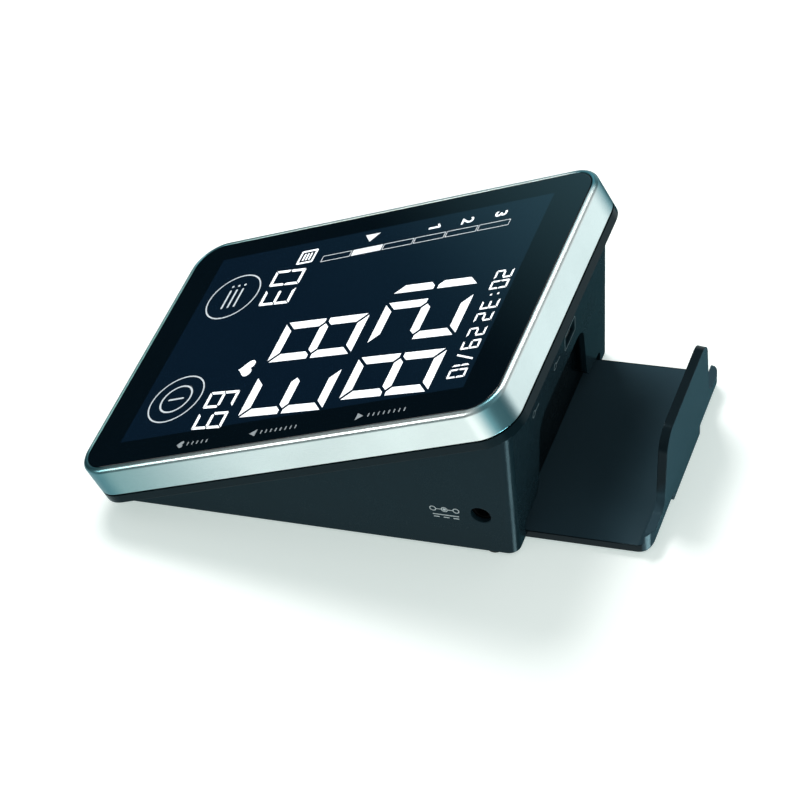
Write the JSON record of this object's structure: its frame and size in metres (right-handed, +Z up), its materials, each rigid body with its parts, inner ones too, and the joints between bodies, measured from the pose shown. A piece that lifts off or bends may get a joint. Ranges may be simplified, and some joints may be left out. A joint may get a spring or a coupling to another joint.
{
  "type": "desk blood pressure monitor",
  "caption": "Desk-standing blood pressure monitor: wedge console with a tall tilted touch display, air and mains sockets, battery door, and a pull-out cuff bracket.",
  "frame": {"origin": "on the desk, at the middle of the whole footprint with the cuff bracket pulled out", "axes": "+Z up from the desk; +Y from the user to the rear, where the bracket slides out; +X to the user's right"},
  "size_m": [0.11, 0.1903, 0.0734],
  "materials": {
    "silver_trim": "pale satin silver",
    "cover_glass": "gloss black glass",
    "black_shell": "gloss black",
    "body_shell": "satin dark teal-black, fine texture",
    "bracket_plastic": "semi-gloss dark teal-black",
    "door_plastic": "satin dark teal-black",
    "touch_sensor": "clear",
    "display_cell": "navy",
    "light_guide": "white",
    "holder_plastic": "white",
    "elastomer": "dark grey",
    "circuit_board": "green solder mask",
    "chip_black": "black",
    "screw_steel": "zinc plated",
    "jack_black": "black",
    "contact_metal": "nickel plated",
    "ribbon": "grey",
    "foot_rubber": "matt black",
    "cell_wrap": "blue-grey wrap",
    "motor_steel": "plated steel",
    "magnet": "dark ferrite",
    "moulded_white": "natural acetal",
    "diaphragm_rubber": "black",
    "hose_rubber": "translucent white silicone",
    "socket_plastic": "mid grey",
    "coil_copper": "enamelled copper"
  },
  "bodies": {
    "console": {"trim_frame": "silver_trim", "cover_lens": "cover_glass", "touch_film": "touch_sensor", "lcd_cell": "display_cell", "backlight_panel": "light_guide", "lcd_holder": "holder_plastic", "contact_strips": "elastomer", "main_board": "circuit_board", "board_chips": "chip_black", "board_screws": "screw_steel", "upper_housing": "black_shell", "lower_housing": "body_shell", "battery_cells": "cell_wrap", "battery_contact_plates": "contact_metal", "battery_contact_springs": "contact_metal", "rubber_feet": "foot_rubber", "housing_screws": "screw_steel", "power_board": "circuit_board", "power_board_screws": "screw_steel", "power_chips": "chip_black", "dc_jack": "jack_black", "dc_jack_pin": "contact_metal", "usb_board": "circuit_board", "usb_board_screws": "screw_steel", "usb_socket": "contact_metal", "usb_tongue": "jack_black", "buzzer": "chip_black", "ribbon_cable": "ribbon", "pump_motor_can": "motor_steel", "pump_motor_end_cap": "moulded_white", "pump_motor_magnets": "magnet", "pump_rocker": "moulded_white", "pump_diaphragm": "diaphragm_rubber", "pump_head_housing": "moulded_white", "pump_head_cover": "moulded_white", "pump_strap": "motor_steel", "air_manifold": "moulded_white", "pump_air_tube": "hose_rubber", "socket_air_tube": "hose_rubber", "valve_air_tube": "hose_rubber", "sensor_air_tube": "hose_rubber", "pressure_sensor": "chip_black", "cuff_socket": "socket_plastic", "valve_frame": "motor_steel", "valve_coil": "coil_copper", "valve_nozzle": "moulded_white", "valve_spring": "contact_metal"},
    "bracket": {"cuff_bracket": "bracket_plastic"},
    "door": {"battery_door": "door_plastic"},
    "pump_drive": {"pump_rotor": "motor_steel", "pump_eccentric": "moulded_white"},
    "plunger": {"valve_plunger": "motor_steel"}
  },
  "joints": [
    {"name": "bracket_slide", "type": "slide", "parent": "console", "child": "bracket", "axis": [0, 1, 0], "range_m": [-0.0405, 0]},
    {"name": "battery_door_hinge", "type": "hinge", "parent": "console", "child": "door", "pos_m": [0, -0.07885, 0.0005], "axis": [-1, 0, 0], "range_deg": [0, 60]},
    {"name": "pump_spin", "type": "hinge", "parent": "console", "child": "pump_drive", "pos_m": [0.0125, 0.01115, 0.02], "axis": [1, 0, 0], "continuous": true},
    {"name": "valve_plunger_slide", "type": "slide", "parent": "console", "child": "plunger", "axis": [-1, 0, 0], "range_m": [0, 0.0008], "stiffness_N_per_m": 120, "springref_m": -0.001, "deforming": ["valve_spring"]}
  ]
}
